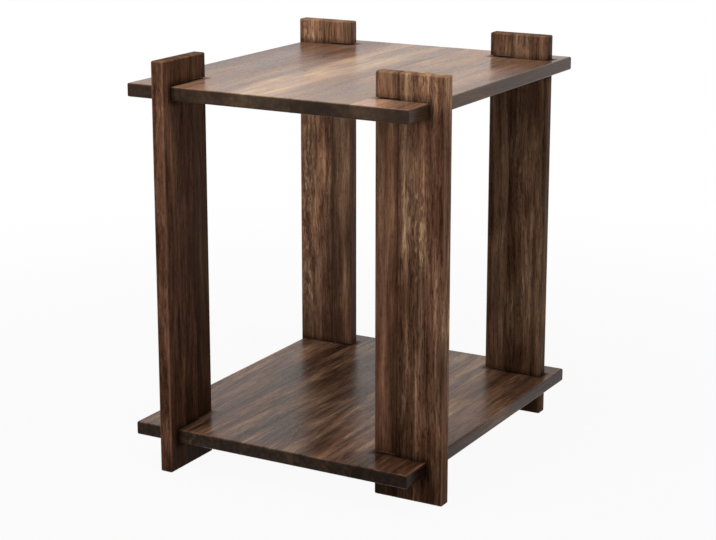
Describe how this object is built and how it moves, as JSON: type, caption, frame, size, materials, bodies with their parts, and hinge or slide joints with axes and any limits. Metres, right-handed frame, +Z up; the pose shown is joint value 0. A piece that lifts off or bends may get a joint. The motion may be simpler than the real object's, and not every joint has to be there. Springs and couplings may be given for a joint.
{
  "type": "end table with shelf",
  "caption": "End table with a lower shelf: rectangular panels of edge-glued boards, slotted into flat plank legs that stand on edge and rise above the top.",
  "frame": {"origin": "on the floor, under the middle of the table's bounding box", "axes": "+Z up, +X to the right along the front edge, +Y to the back along the boards"},
  "size_m": [0.484, 0.563, 0.61],
  "materials": {
    "top_wood": "dark stained hardwood under satin lacquer, straight grain front to back",
    "shelf_wood": "dark stained hardwood under satin lacquer, straight grain front to back",
    "leg_wood": "dark stained hardwood under satin lacquer, grain upright",
    "dowel_wood": "plain beech, glued in"
  },
  "bodies": {
    "root": {"top_board_1": "top_wood", "top_board_2": "top_wood", "top_board_3": "top_wood", "top_board_4": "top_wood", "top_board_5": "top_wood", "shelf_board_1": "shelf_wood", "shelf_board_2": "shelf_wood", "shelf_board_3": "shelf_wood", "shelf_board_4": "shelf_wood", "shelf_board_5": "shelf_wood", "front_left_leg_stave": "leg_wood", "front_left_leg_cap": "leg_wood", "front_left_leg_strip": "leg_wood", "front_left_leg_foot": "leg_wood", "front_right_leg_stave": "leg_wood", "front_right_leg_cap": "leg_wood", "front_right_leg_strip": "leg_wood", "front_right_leg_foot": "leg_wood", "back_right_leg_stave": "leg_wood", "back_right_leg_cap": "leg_wood", "back_right_leg_strip": "leg_wood", "back_right_leg_foot": "leg_wood", "back_left_leg_stave": "leg_wood", "back_left_leg_cap": "leg_wood", "back_left_leg_strip": "leg_wood", "back_left_leg_foot": "leg_wood", "joint_dowels": "dowel_wood", "mortise_pins": "dowel_wood"}
  },
  "joints": []
}
